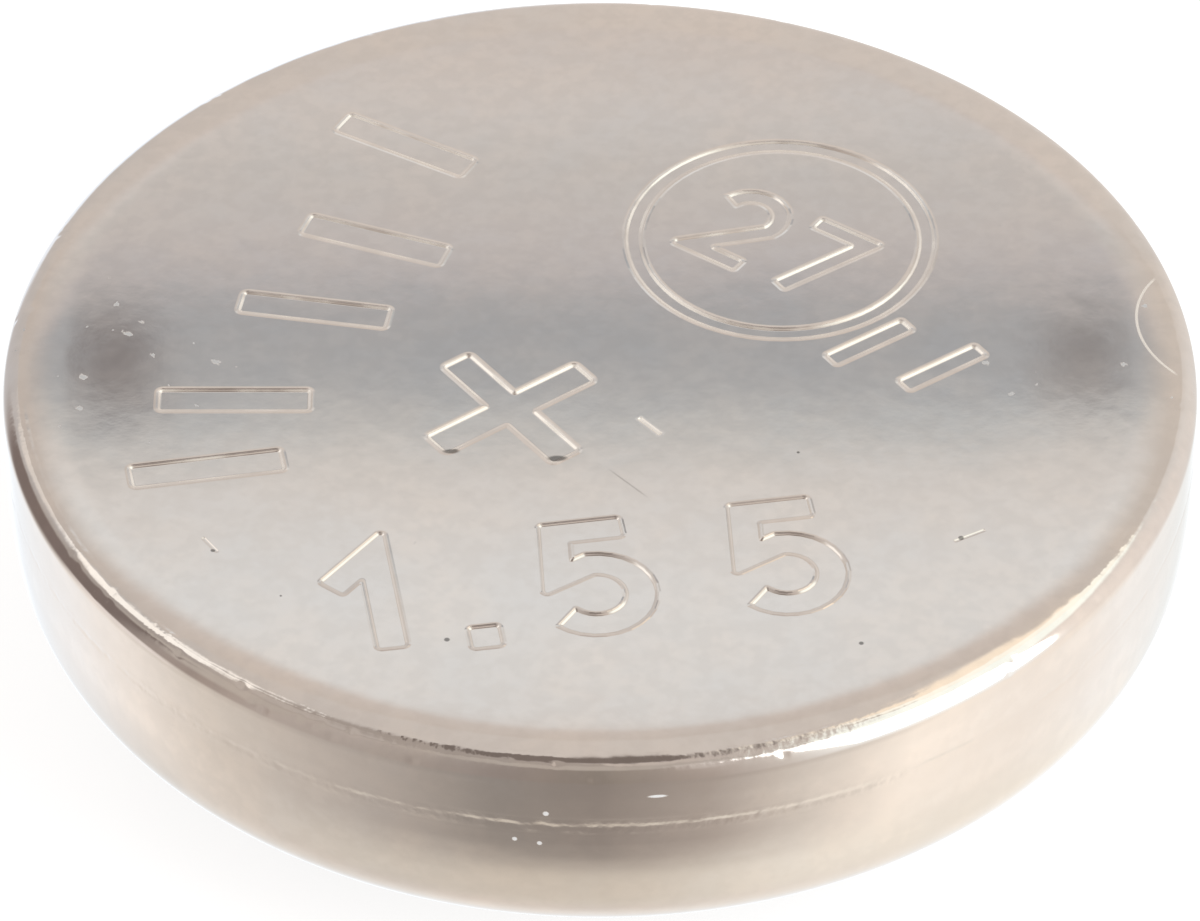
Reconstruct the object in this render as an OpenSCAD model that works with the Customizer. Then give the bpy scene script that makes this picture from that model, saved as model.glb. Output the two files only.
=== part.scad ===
// Silver oxide button cell, crimp sealed. All sizes are in millimetres.
// The origin is the centre of the negative contact face, and +Z points to the positive face.
// Every piece is a revolved profile. Pieces that touch share the same profile functions,
// so they stay face to face when a size changes.

/* [Cell] */
// Diameter over the can
cell_d = 11.6; // [9:0.1:14]
// Height from the negative contact face to the positive face
cell_h = 3.05; // [2.7:0.05:4.5]

/* [Can] */
// Sheet thickness of the drawn can
can_t = 0.18; // [0.12:0.01:0.25]
// Inside radius of the corner between the positive face and the wall
corner_in_r = 0.03; // [0.02:0.01:0.2]
// Inside radius of the gentle roll-off round the flat of the positive face
roll_in_r = 3.6; // [2:0.1:5]
// Angle that the roll-off turns through
roll_a = 6; // [2:1:10]
// Inside radius of the taper below the straight wall
taper_in_r = 4.8; // [3:0.1:7]
// Angle that the taper turns through
taper_a = 7; // [3:1:10]
// Inside radius of the crimp
crimp_in_r = 0.67; // [0.5:0.01:0.8]
// Angle from the vertical at which the crimp runs inwards
crimp_a = 50; // [42:1:56]
// Length of the straight part of the crimp
cone_l = 0.5; // [0.3:0.05:0.6]
// Inside radius of the lip's bend
lip_in_r = 0.17; // [0.05:0.01:0.3]
// Angle from the vertical of the lip itself
lip_a = 80; // [70:1:88]
// Length of the flat at the end of the lip
lip_l = 0.1; // [0.05:0.01:0.15]

/* [Negative cap] */
// Sheet thickness of the cap
cap_t = 0.15; // [0.1:0.01:0.18]
// Inside radius of the corner round the contact face
drum_in_r = 0.18; // [0.05:0.01:0.3]
// Outside radius of the hollow where the drum meets the shoulder
root_r = 0.1; // [0.05:0.01:0.12]
// Inside radius of the bend from the shoulder into the skirt
shoulder_in_r = 0.08; // [0.04:0.01:0.12]
// Hairline gap inside the folded rim
fold_gap = 0.04; // [0.03:0.01:0.06]
// Height of the skirt's outer, folded leg
fold_h = 0.5; // [0.4:0.05:0.55]

/* [Gasket] */
// Width of the ring of gasket that shows between the lip and the drum
ring_w = 0.28; // [0.2:0.01:0.35]
// Height by which that ring stands proud of the lip
ring_proud = 0.05; // [0.03:0.01:0.08]
// Wall thickness between the can and the folded rim
wall_t = 0.34; // [0.3:0.01:0.4]
// Thickness between the lip and the cap's shoulder
seal_t = 0.34; // [0.3:0.01:0.4]
// Thickness of the foot over the folded rim
foot_t = 0.25; // [0.2:0.01:0.3]
// Thickness of the upstand inside the skirt
upstand_t = 0.2; // [0.15:0.01:0.3]
// Height of the upstand below the top of the fold
upstand_h = 0.3; // [0.2:0.05:0.4]

/* [Fill] */
// Thickness of the zinc anode
anode_t = 1.5; // [1.4:0.05:1.7]
// Thickness of the absorbent pad
pad_t = 0.35; // [0.3:0.05:0.5]
// Thickness of the barrier film
film_t = 0.1; // [0.05:0.01:0.15]
// Clearance round the barrier film
film_gap = 0.05; // [0.02:0.01:0.1]
// Sheet thickness of the support ring
support_t = 0.15; // [0.1:0.01:0.2]
// Width of the support ring's flange
support_w = 0.72; // [0.5:0.01:0.9]
// Height of the support ring
support_h = 0.35; // [0.25:0.01:0.4]

/* [Hidden] */
$fn = 96;
// Largest turn of one straight piece of an arc
step_a = 9;

// Heights of the stack, from the negative contact face upwards
anode_z = cap_t + anode_t;
pad_z = anode_z + pad_t;
film_z = pad_z + film_t;
inner_top_z = cell_h - can_t;

// The can's radii, and the unit normals of the crimp and the lip in the half plane (radius, height)
can_r = cell_d / 2;
bore_r = can_r - can_t;
crimp_n = normal(-crimp_a);
lip_n = normal(-lip_a);

// Centres of the can's bends. Each bend meets the next along a common tangent.
corner_c = [bore_r - corner_in_r, inner_top_z - corner_in_r - (roll_in_r - corner_in_r) * (1 - cos(roll_a))];
roll_c = corner_c - (roll_in_r - corner_in_r) * normal(90 - roll_a);
taper_c = [bore_r - taper_in_r, pad_z];
crimp_c = taper_c + (taper_in_r - crimp_in_r) * normal(-taper_a);
lip_c = crimp_c + (crimp_in_r - lip_in_r) * crimp_n + cone_l * along(crimp_n);
lip_out = lip_c + (lip_in_r + can_t) * lip_n + lip_l * along(lip_n);
lip_in = lip_out - can_t * lip_n;

// Radii and heights of the cap
drum_r = lip_out.x - ring_w;
fold_out_r = bore_r - wall_t;
fold_in_r = fold_out_r - cap_t;
leg_r = fold_in_r - fold_gap;
leg_in_r = leg_r - cap_t;
upstand_r = leg_in_r - upstand_t;
shoulder_z = lip_in.y + seal_t;
fold_top_z = pad_z - foot_t;
fold_end_z = fold_top_z - fold_h;
upstand_z = fold_top_z - upstand_h;
fold_c = [(leg_r + fold_in_r) / 2, fold_top_z - cap_t - fold_gap / 2];
drum_c = [drum_r - cap_t - drum_in_r, cap_t + drum_in_r];
root_c = [drum_r + root_r, shoulder_z - root_r];
shoulder_c = [leg_in_r - shoulder_in_r, shoulder_z + cap_t + shoulder_in_r];
ring_z = lip_out.y - ring_proud;

// Unit vector at an angle from the radial direction
function normal(a) = [cos(a), sin(a)];

// Direction along the sheet, inwards and down, for a given outward normal
function along(n) = [n.y, -n.x];

// Points of an arc, in straight pieces that turn no further than step_a
function arc(c, r, a0, a1) =
    let (n = ceil(abs(a1 - a0) / step_a))
    [for (i = [0:n]) c + r * normal(a0 + (a1 - a0) * i / n)];

// The same points in the opposite order
function back(points) = [for (i = [len(points) - 1:-1:0]) points[i]];

// Upper part of the can at a depth under its outer surface, from the axis to the straight wall
function can_head(d) = concat(
    [[0, cell_h - d]],
    arc(roll_c, roll_in_r + can_t - d, 90, 90 - roll_a),
    arc(corner_c, corner_in_r + can_t - d, 90 - roll_a, 0));

// Lower part of the can at a depth under its outer surface, from the straight wall to the lip
function can_foot(d) = concat(
    arc(taper_c, taper_in_r + can_t - d, 0, -taper_a),
    arc(crimp_c, crimp_in_r + can_t - d, -taper_a, -crimp_a),
    arc(lip_c, lip_in_r + can_t - d, -crimp_a, -lip_a),
    [lip_out - d * lip_n]);

// Contact face and drum of the cap at a depth under its outer surface, from the axis outwards
function cap_drum(d) = concat(
    [[0, d]],
    arc(drum_c, drum_in_r + cap_t - d, -90, 0));

// Shoulder of the cap at a depth under its outer surface, from the drum to the skirt
function cap_shoulder(d) = concat(
    arc(root_c, root_r + d, 180, 90),
    arc(shoulder_c, shoulder_in_r + cap_t - d, -90, 0));

// Folded rim of the cap at a depth under its outer surface, from the skirt to the free edge
function cap_fold(d) = concat(
    arc(fold_c, fold_gap / 2 + d, 180, 0),
    [[fold_in_r + d, fold_end_z]]);

// Solid of revolution of an outline in (radius, height)
module turned(outline) {
    rotate_extrude() polygon(outline);
}

// Drawn cup whose open edge is crimped over the gasket
module positive_can() {
    color("silver") turned(concat(
        can_head(0), can_foot(0),
        back(can_foot(can_t)), back(can_head(can_t))));
}

// Silver oxide pellet, pressed into the can and rebated for the support ring
module cathode_pellet() {
    color("dimgray") turned(concat(
        can_head(can_t),
        [[bore_r, film_z + support_h],
         [bore_r - support_t, film_z + support_h],
         [bore_r - support_t, film_z + support_t],
         [bore_r - support_w, film_z + support_t],
         [bore_r - support_w, film_z],
         [0, film_z]]));
}

// Steel ring of L section that backs the gasket's foot
module support_ring() {
    color("lightsteelblue") turned([
        [bore_r - support_w, film_z],
        [bore_r, film_z],
        [bore_r, film_z + support_h],
        [bore_r - support_t, film_z + support_h],
        [bore_r - support_t, film_z + support_t],
        [bore_r - support_w, film_z + support_t]]);
}

// Thin disc that keeps silver ions away from the anode
module barrier_film() {
    color("ivory") translate([0, 0, pad_z]) cylinder(h = film_t, r = bore_r - film_gap);
}

// Fibre disc that holds the electrolyte
module absorbent_pad() {
    color("white") translate([0, 0, anode_z]) cylinder(h = pad_t, r = upstand_r);
}

// Gelled zinc powder that fills the cap up to the pad
module zinc_anode() {
    color("slategray") turned(concat(
        cap_drum(cap_t), cap_shoulder(cap_t),
        [[leg_in_r, upstand_z],
         [upstand_r, upstand_z],
         [upstand_r, anode_z],
         [0, anode_z]]));
}

// Nylon gasket of J section, squeezed between the can and the cap's folded rim
module sealing_gasket() {
    color("gray") turned(concat(
        [[drum_r, ring_z],
         [lip_out.x - ring_proud, ring_z],
         lip_out],
        back(can_foot(can_t)),
        [[upstand_r, pad_z],
         [upstand_r, upstand_z],
         [leg_in_r, upstand_z]],
        cap_fold(cap_t),
        [[leg_r, fold_end_z]],
        back(cap_shoulder(0))));
}

// Drawn cup with a stepped shoulder and a rim folded back outside its skirt
module negative_cap() {
    color("gainsboro") turned(concat(
        cap_drum(0), cap_shoulder(0), cap_fold(0),
        back(cap_fold(cap_t)), back(cap_shoulder(cap_t)), back(cap_drum(cap_t))));
}

positive_can();
cathode_pellet();
support_ring();
barrier_film();
absorbent_pad();
zinc_anode();
sealing_gasket();
negative_cap();
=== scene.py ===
# %% [markdown]
# # A silver oxide button cell
#
# The cell is a nickel-plated can, 11.6 mm across and 3.05 mm high, whose open edge is crimped over a
# nylon gasket and a stepped cap. The imported model holds all eight pieces at their real size. This script
# dresses the outside: the can is made again with its pressed marks and worn edge, and every other piece
# gets its finish.
#
# The model is loaded first, and the can's radius and height are read from its box. Nothing that the script
# makes may reach outside it.

# %% Load the model
import math

import bmesh
import bpy
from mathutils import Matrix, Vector
from mathutils.geometry import delaunay_2d_cdt


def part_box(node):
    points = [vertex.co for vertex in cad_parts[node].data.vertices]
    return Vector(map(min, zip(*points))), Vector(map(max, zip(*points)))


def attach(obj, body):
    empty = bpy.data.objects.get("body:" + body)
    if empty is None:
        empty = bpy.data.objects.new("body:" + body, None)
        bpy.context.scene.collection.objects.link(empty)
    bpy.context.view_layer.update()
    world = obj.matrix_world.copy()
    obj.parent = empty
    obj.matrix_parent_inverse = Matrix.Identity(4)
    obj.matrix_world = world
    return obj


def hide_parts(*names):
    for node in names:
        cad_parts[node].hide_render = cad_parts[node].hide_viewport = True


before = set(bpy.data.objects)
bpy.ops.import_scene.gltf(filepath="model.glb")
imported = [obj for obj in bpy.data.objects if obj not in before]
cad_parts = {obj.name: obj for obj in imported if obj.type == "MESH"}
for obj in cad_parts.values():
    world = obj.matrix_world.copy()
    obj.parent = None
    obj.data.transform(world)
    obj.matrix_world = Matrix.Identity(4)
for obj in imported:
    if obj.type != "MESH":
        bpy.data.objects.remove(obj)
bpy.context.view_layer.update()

MM = 0.001
CAN_R, _, TOP = Vector(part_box("positive_can")[1])
print(f"can: radius {CAN_R / MM:.2f} mm, top at {TOP / MM:.2f} mm")


def new_object(name, data):
    """Object of some data, linked into the scene."""
    obj = bpy.data.objects.new(name, data)
    bpy.context.collection.objects.link(obj)
    return obj


def mesh_object(name, places, edges, faces):
    """Object of a new mesh. Its places are in metres."""
    mesh = bpy.data.meshes.new(name)
    mesh.from_pydata(places, edges, faces)
    return new_object(name, mesh)


# %% [markdown]
# ## Camera
#
# From very near, a small thing looks distorted. From several times its own width, through a long lens,
# its round face becomes a clean ellipse. The camera stands 80 mm from the middle of the positive face, 40
# degrees above it. It is aimed slightly below that face, so that the whole cell sits in the frame.

# %% Camera
CAMERA_DISTANCE = 80 * MM
CAMERA_RISE = math.radians(40.48)
CAMERA_DROP = math.radians(0.6925)
CAMERA_LENS = 247.2
CAMERA_SEES = (1 * MM, 10)

camera_data = bpy.data.cameras.new("camera")
camera_data.lens = CAMERA_LENS
camera_data.clip_start, camera_data.clip_end = CAMERA_SEES
camera = new_object("camera", camera_data)
camera.location = (0, -CAMERA_DISTANCE * math.cos(CAMERA_RISE), TOP + CAMERA_DISTANCE * math.sin(CAMERA_RISE))
camera.rotation_euler = (math.pi / 2 - CAMERA_RISE - CAMERA_DROP, 0, 0)
bpy.context.scene.camera = camera
print("camera at", [round(value / MM, 1) for value in camera.location], "mm")

# %% [markdown]
# ## Writing node trees as sums
#
# Every finish below is worked out from the place on the piece, so the trees are full of arithmetic. A
# small class holds a socket and turns Python's operators into Math nodes. Its one method for all other
# nodes takes the node's type, then its settings, then the values or links of its sockets. A type without
# "Node" in its name is a shader node's.

# %% A class for sockets
class Wire:
    """An output socket of a node tree. Arithmetic on wires adds Math nodes to that tree."""

    def __init__(self, tree, socket=None):
        self.tree = tree
        self.socket = socket

    def node(self, kind, settings=None, sockets=None, out=0):
        made = self.tree.nodes.new(kind if "Node" in kind else "ShaderNode" + kind)
        for name, value in (settings or {}).items():
            if name == "stops":
                set_stops(made.color_ramp, value)
            else:
                setattr(made, name, value)
        for key, value in (sockets or {}).items():
            self.feed(made.inputs[key], value)
        return Wire(self.tree, made.outputs[out] if made.outputs else None)

    def feed(self, socket, value):
        if isinstance(value, Wire):
            self.tree.links.new(value.socket, socket)
        else:
            socket.default_value = value

    def math(self, operation, *values):
        sockets = dict(enumerate((self, *values)))
        return self.node("Math", {"operation": operation}, sockets)

    def __add__(self, other):
        return self.math("ADD", other)

    __radd__ = __add__

    def __mul__(self, other):
        return self.math("MULTIPLY", other)

    __rmul__ = __mul__

    def __sub__(self, other):
        return self.math("SUBTRACT", other)

    def __rsub__(self, other):
        return self.node("Math", {"operation": "SUBTRACT"}, {0: other, 1: self})

    def __truediv__(self, other):
        return self.math("DIVIDE", other)

    def __neg__(self):
        return self * -1

    def part(self, name):
        """Another output of the node that made this wire."""
        return Wire(self.tree, self.socket.node.outputs[name])

    def split(self):
        parts = self.node("SeparateXYZ", None, {0: self})
        return parts, parts.part("Y"), parts.part("Z")

    def vector(self, x, y, z):
        return self.node("CombineXYZ", None, {0: x, 1: y, 2: z})

    def fade(self, start, end, low=0.0, high=1.0):
        """Goes smoothly from low to high as this value goes from start to end."""
        return self.node("MapRange", {"interpolation_type": "SMOOTHSTEP"},
                         {0: self, 1: start, 2: end, 3: low, 4: high})

    def mix(self, first, second):
        """Colour between two colours, by this value."""
        return self.node("Mix", {"data_type": "RGBA"}, {0: self, 6: first, 7: second}, 2)

    def noise(self, vector, scale, detail=2.0, roughness=0.5):
        return self.node("TexNoise", None,
                         {"Vector": vector, "Scale": scale, "Detail": detail, "Roughness": roughness})


def set_stops(ramp, stops):
    while len(ramp.elements) < len(stops):
        ramp.elements.new(1.0)
    for element, (place, colour) in zip(ramp.elements, stops):
        element.position = place
        element.color = colour


def grey(level):
    return (level, level, level, 1.0)


def tint(red, green, blue):
    return (red, green, blue, 1.0)


def noise_mm(place, size, detail=2.0, roughness=0.5):
    """Noise at a place in metres whose features have a size in millimetres."""
    return place.noise(place, 1 / (size * MM), detail, roughness)


# %% [markdown]
# ## The studio
#
# Polished metal has no look of its own: it shows the room. So the room is half of this finish. It could
# be built from many cards and lamps, but a room that is only seen in reflections can simply be painted on
# the world, by direction. Azimuth 0 is the camera's side and + is to its right.
#
# - The walls go round the cell: dim on the camera's side, pale behind, bright on the right.
# - The floor is dim in front, where the camera shades it, and bright behind.
# - Soft-edged patches are painted over both: a brown strip on the left, a small lamp behind it, light
#   from high on the right, and a dark gap above the panel that the face mirrors.

# %% Tones round the room
WALLS = [  # azimuth, red, green, blue
    (-180, 0.88, 0.83, 0.80),
    (-160, 0.76, 0.73, 0.72),
    (-139, 0.73, 0.72, 0.74),
    (-118, 0.56, 0.52, 0.50),
    (-90, 0.52, 0.47, 0.45),
    (-72, 0.50, 0.43, 0.40),
    (-57, 0.67, 0.61, 0.58),
    (-37, 0.58, 0.53, 0.50),
    (-18, 0.43, 0.38, 0.36),
    (0, 0.38, 0.34, 0.31),
    (18, 0.59, 0.52, 0.48),
    (36, 1.00, 0.96, 0.93),
    (54, 1.40, 1.35, 1.30),
    (90, 1.27, 1.20, 1.15),
    (110, 1.12, 1.06, 1.03),
    (139, 1.00, 0.98, 0.97),
    (155, 0.90, 0.86, 0.83),
    (180, 0.88, 0.83, 0.80),
]
FLOOR = [  # azimuth, red, green, blue
    (-180, 1.24, 1.30, 1.36),
    (-155, 1.10, 1.16, 1.23),
    (-124, 1.27, 1.29, 1.33),
    (-104, 1.26, 1.22, 1.19),
    (-83, 0.99, 0.94, 0.89),
    (-62, 0.80, 0.75, 0.71),
    (-42, 0.63, 0.59, 0.56),
    (-20, 0.42, 0.39, 0.37),
    (0, 0.40, 0.36, 0.34),
    (21, 0.60, 0.54, 0.50),
    (42, 1.02, 0.97, 0.92),
    (62, 1.50, 1.42, 1.33),
    (90, 1.36, 1.30, 1.24),
    (124, 1.30, 1.31, 1.32),
    (155, 1.06, 1.09, 1.10),
    (168, 1.10, 1.14, 1.17),
    (180, 1.24, 1.30, 1.36),
]
UNDERFOOT = [  # how far behind, as a share, then red, green, blue
    (-0.60, 0.90, 0.84, 0.76),
    (-0.34, 0.95, 0.90, 0.83),
    (-0.10, 0.98, 0.92, 0.87),
    (0.16, 1.12, 1.09, 1.06),
    (0.40, 1.09, 1.11, 1.13),
    (0.60, 1.16, 1.22, 1.28),
]
LEFT_UNDERFOOT = tint(0.85, 0.82, 0.78)
RIGHT_UNDERFOOT = tint(1.30, 1.26, 1.18)
print("tones:", len(WALLS), "round the walls,", len(FLOOR), "round the floor,", len(UNDERFOOT), "underfoot")

# %% [markdown]
# Each list of tones becomes a ramp. The soft line between walls and floor is at the height of the cell in
# front and 20 degrees lower behind. Far below, the third ramp takes over.

# %% Painting the room
HORIZON_BEHIND = -20
HORIZON_SOFTNESS = 18
world = bpy.data.worlds.new("studio")
bpy.context.scene.world = world
world.use_nodes = True
world.node_tree.nodes.clear()
sky = Wire(world.node_tree)
east, north, up = sky.node("TexCoord", None, None, "Generated").split()
azimuth = east.math("ARCTAN2", -north) * (180 / math.pi)
elevation = up.math("ARCSINE") * (180 / math.pi)


def painted_stops(value, stops, low, high):
    """Colour ramp whose stops are given in the value's own unit."""
    share = (value - low) / (high - low)
    places = [((place - low) / (high - low), tint(*colour)) for place, *colour in stops]
    return value.node("ValToRGB", {"stops": places}, {0: share})


walls = painted_stops(azimuth, WALLS, -180, 180)
floor_around = painted_stops(azimuth, FLOOR, -180, 180)
underfoot = painted_stops(north, UNDERFOOT, -1, 1)
underfoot = (east.fade(-0.1, -0.35) * 0.35).mix(underfoot, LEFT_UNDERFOOT)
underfoot = east.fade(-0.05, 0.6).mix(underfoot, RIGHT_UNDERFOOT)
horizon = azimuth.math("ABSOLUTE").fade(85, 125, 0, HORIZON_BEHIND) - azimuth.fade(110, 130) * 5
room = (elevation - horizon).fade(0, -HORIZON_SOFTNESS).mix(walls, floor_around)
room = elevation.fade(-43, -55).mix(room, underfoot)
print("room:", len(world.node_tree.nodes), "nodes")

# %% [markdown]
# The patches lie one over the other. Each is given by its direction and its half sizes, all in degrees. A
# patch with a lean rises by that share of a degree for every degree to the right. The gap is painted
# last, and the front of the rim mirrors it as one dark line.
#
# The camera itself sees plain white: only reflections and soft light come from the room.

# %% Patches painted over the room
PATCHES = [  # azimuth, elevation, lean, half width, half height, softness, colour
    (0, 90, 0, 180, 30, 6, 0.54, 0.49, 0.46),
    (90, 76, 0, 75, 16, 6, 0.76, 0.69, 0.65),
    (0, 70, 0, 60, 11, 6, 0.64, 0.59, 0.55),
    (30, 54, 0, 12, 14, 5, 0.78, 0.72, 0.69),
    (-97, 64, 0, 32, 7, 5, 0.68, 0.63, 0.60),
    (-80, 40, 0, 22, 16, 8, 0.67, 0.62, 0.58),
    (-144, 38, -0.4, 9, 6, 4, 1.02, 0.98, 0.95),
    (-164, -14, 0, 13, 13, 4, 1.14, 1.24, 1.38),
    (-92, -15, 0, 12, 8, 5, 1.15, 1.09, 1.08),
    (-109, 8.0, 0.48, 22.5, 21.5, 6, 0.29, 0.24, 0.23),
    (-133, 52.5, -0.1, 15, 9, 4, 1.48, 1.46, 1.43),
    (-156, 54.5, 0, 8, 2.5, 2.5, 1.40, 1.38, 1.35),
    (61, 28, 0, 20, 31, 10, 1.50, 1.60, 1.66),
    (103, 57, 0, 36, 14, 4, 1.47, 1.58, 1.54),
    (150, 55.5, 0, 13, 9.5, 3, 1.52, 1.53, 1.42),
    (164.5, 54, 0, 4.5, 5, 1.5, 1.45, 1.30, 1.10),
]
GAP_MIDDLE = -0.02
GAP_TONE = tint(0.27, 0.23, 0.215)
for turn, lift, lean, half_width, half_height, soft, *colour in PATCHES:
    beside = (azimuth - turn).math("WRAP", 180, -180)
    above = (elevation - lift - beside * lean).math("ABSOLUTE")
    cover = beside.math("ABSOLUTE").fade(half_width + soft, half_width - soft)
    cover = cover * above.fade(half_height + soft, half_height - soft)
    room = cover.mix(room, tint(*colour))
from_gap = (east - GAP_MIDDLE).math("ABSOLUTE") - elevation.fade(52, 72, 0.04, 0.11)
gap = from_gap.fade(0.03, -0.02) * elevation.fade(54.5, 59) * north.fade(0.08, 0.2)
room = gap.mix(room, GAP_TONE)

seen = sky.node("LightPath", None, None, "Is Camera Ray")
shown = sky.node("Background", None, {"Color": seen.mix(room, grey(1.0))})
sky.node("OutputWorld", None, {"Surface": shown})
print("world:", len(world.node_tree.nodes), "nodes")

# %% [markdown]
# The flat face mirrors only a small part of the room, nearly all in one direction. So the world can't
# paint a stripe across it: that needs a panel that stands near. The panel is square to the line that the
# middle of the face reflects, 40 mm away, and its tones are heights in millimetres from that line. Only
# glossy rays see it, so it stays out of every view.

# %% Size and tones of the panel
PANEL_DISTANCE = 40 * MM
PANEL_WIDTH = 46 * MM
PANEL_LOW = -5 * MM
PANEL_TOP = 9.6 * MM
PANEL_STOPS = [  # height in mm, red, green, blue
    (-4.9, 0.86, 0.81, 0.79),
    (-3.6, 0.88, 0.87, 0.88),
    (-2.8, 0.78, 0.78, 0.79),
    (-1.9, 0.79, 0.77, 0.78),
    (-1.3, 0.71, 0.70, 0.73),
    (-0.7, 0.54, 0.57, 0.61),
    (0.3, 0.54, 0.58, 0.63),
    (0.9, 0.73, 0.77, 0.80),
    (1.7, 0.96, 0.95, 0.95),
    (3.4, 1.03, 1.07, 1.11),
    (4.9, 1.02, 1.05, 1.08),
    (6.9, 0.86, 0.80, 0.77),
    (9.6, 0.82, 0.76, 0.72),
]
LEFT_PATCH, RIGHT_PATCH = tint(0.25, 0.23, 0.24), tint(0.36, 0.35, 0.36)
LEFT_MARGIN, RIGHT_MARGIN = tint(0.77, 0.72, 0.69), tint(0.84, 0.79, 0.75)
print(f"panel: {PANEL_WIDTH / MM:.0f} x {(PANEL_TOP - PANEL_LOW) / MM:.1f} mm, {len(PANEL_STOPS)} tones")

# %% [markdown]
# The stripe ends in a dark patch on either side, and the margins beyond are plain. Near its ends its
# upper edge drops on the right and rises on the left.

# %% Panel behind the cell
def flat_sheet(name, corners):
    return mesh_object(name, corners, [], [range(len(corners))])


def new_material(name):
    material = bpy.data.materials.new(name)
    material.use_nodes = True
    material.node_tree.nodes.clear()
    return material, Wire(material.node_tree)


panel_line = Vector((0, math.cos(CAMERA_RISE), math.sin(CAMERA_RISE)))
panel_up = Vector((0, -math.sin(CAMERA_RISE), math.cos(CAMERA_RISE)))
panel_middle = Vector((0, 0, TOP)) + panel_line * PANEL_DISTANCE
panel = flat_sheet("panel", [
    panel_middle + Vector((side * PANEL_WIDTH / 2, 0, 0)) + panel_up * height
    for side, height in ((-1, PANEL_LOW), (1, PANEL_LOW), (1, PANEL_TOP), (-1, PANEL_TOP))])
for ray in ("camera", "diffuse", "transmission", "volume_scatter", "shadow"):
    setattr(panel, "visible_" + ray, False)

panel_material, paint = new_material("panel_paint")
across, deep, high = paint.node("TexCoord", None, None, "Object").split()
rise = ((high - panel_middle.z) * panel_up.z + (deep - panel_middle.y) * panel_up.y) / MM
side = across.math("ABSOLUTE") / MM
to_right = across.fade(-MM, MM)
sooner = side.fade(5.6, 6.8) * to_right * rise.fade(0.3, 1.0) * 0.2
later = side.fade(5.0, 6.2) * (1 - to_right) * rise.fade(0.2, 0.8) * rise.fade(2.4, 1.2) * 0.18
level = rise + sooner - later
stripe = painted_stops(level, PANEL_STOPS, PANEL_LOW / MM, PANEL_TOP / MM)
patch = side.fade(6.0, 7.0) * side.fade(8.0, 7.1) * level.fade(-0.9, -0.3) * level.fade(0.8, 0.3)
striped = patch.mix(stripe, to_right.mix(LEFT_PATCH, RIGHT_PATCH))
whole = (side + to_right).fade(8.4, 15).mix(striped, to_right.mix(LEFT_MARGIN, RIGHT_MARGIN))
glow = paint.node("Emission", None, {"Color": whole})
paint.node("OutputMaterial", None, {"Surface": glow})
panel.data.materials.append(panel_material)
print("panel at", [round(value / MM, 1) for value in panel_middle], "mm")

# %% [markdown]
# The floor is a wide pale sheet under the cell. Part of its white is its own glow, so that the shadow
# stays soft and light. Its underside is clear, because the cell is also looked at from below.

# %% Floor
FLOOR_REACH = 1.5
FLOOR_LEVEL = -0.003 * MM  # a hair under the contact face, so that the two never share a place
FLOOR_PAPER = grey(0.30)
FLOOR_GLOW = 0.84
floor = flat_sheet("floor", [
    Vector((turn_x * FLOOR_REACH, turn_y * FLOOR_REACH, FLOOR_LEVEL))
    for turn_x, turn_y in ((-1, -1), (1, -1), (1, 1), (-1, 1))])
floor.visible_glossy = False
floor_material, paint = new_material("floor_paper")
lit = paint.node("BsdfDiffuse", None, {"Color": FLOOR_PAPER})
own = paint.node("Emission", None, {"Color": grey(1.0), "Strength": FLOOR_GLOW})
paper = paint.node("AddShader", None, {0: lit, 1: own})
clear = paint.node("BsdfTransparent")
behind = paint.node("NewGeometry", None, None, "Backfacing")
both = paint.node("MixShader", None, {0: behind, 1: paper, 2: clear})
paint.node("OutputMaterial", None, {"Surface": both})
floor.data.materials.append(floor_material)
print("floor:", round(2 * FLOOR_REACH, 1), "m square")

# %% [markdown]
# A painted room gives no shadow with a direction. So there is one real lamp, a large soft box on the
# right, at about the level of a lit wall. It lights the duller pieces and gives the floor its shadow.

# %% Soft box on the right
BOX_TURN, BOX_LIFT = math.radians(62), math.radians(32)
BOX_DISTANCE = 90 * MM
BOX_WIDTH, BOX_HEIGHT = 70 * MM, 90 * MM
BOX_RADIANCE = 1.7

light_data = bpy.data.lights.new("key_light", "AREA")
light_data.shape = "RECTANGLE"
light_data.size = BOX_WIDTH
light_data.size_y = BOX_HEIGHT
light_data.energy = BOX_RADIANCE * math.pi * BOX_WIDTH * BOX_HEIGHT
towards = Vector((
    math.sin(BOX_TURN) * math.cos(BOX_LIFT), -math.cos(BOX_TURN) * math.cos(BOX_LIFT), math.sin(BOX_LIFT)))
key_light = new_object("key_light", light_data)
key_light.location = Vector((0, 0, TOP)) + towards * BOX_DISTANCE
key_light.rotation_euler = towards.to_track_quat("Z", "Y").to_euler()
key_light.visible_camera = False
print("soft box at", [round(value / MM) for value in key_light.location], "mm")

# %% [markdown]
# ## The can's profile
#
# The can is drawn from one disc of sheet and then crimped, so its whole shape is one line turned about
# the axis. The line is written in (radius, height), in millimetres, from the flat of the positive face
# over the corner, down the wall and round the crimp to the lip, and back along the inside of the sheet.
# Each bend meets the next along a common tangent, so only radii and angles are needed.

# %% Bends of the can
SHEET = 0.18
ROLL_R, ROLL_A = 3.78, 6
CORNER_R = 0.21
TAPER_R, TAPER_A = 4.98, 7
CRIMP_R, CRIMP_A = 0.85, 50
LIP_R, LIP_A = 0.35, 80
CONE_LENGTH, LIP_LENGTH = 0.5, 0.1
TAPER_START = 2.0
OUTER_TAPER_START = 2.1
DISC_R = 5.15


def unit(angle):
    """Unit vector in (radius, height) at an angle in degrees from the radial direction."""
    return Vector((math.cos(math.radians(angle)), math.sin(math.radians(angle))))


def arc(centre, radius, start, end, pieces):
    return [centre + radius * unit(start + (end - start) * i / pieces) for i in range(pieces + 1)]


def along(normal):
    """Direction along the sheet, inwards and down, for a given outward normal."""
    return Vector((normal.y, -normal.x))


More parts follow.
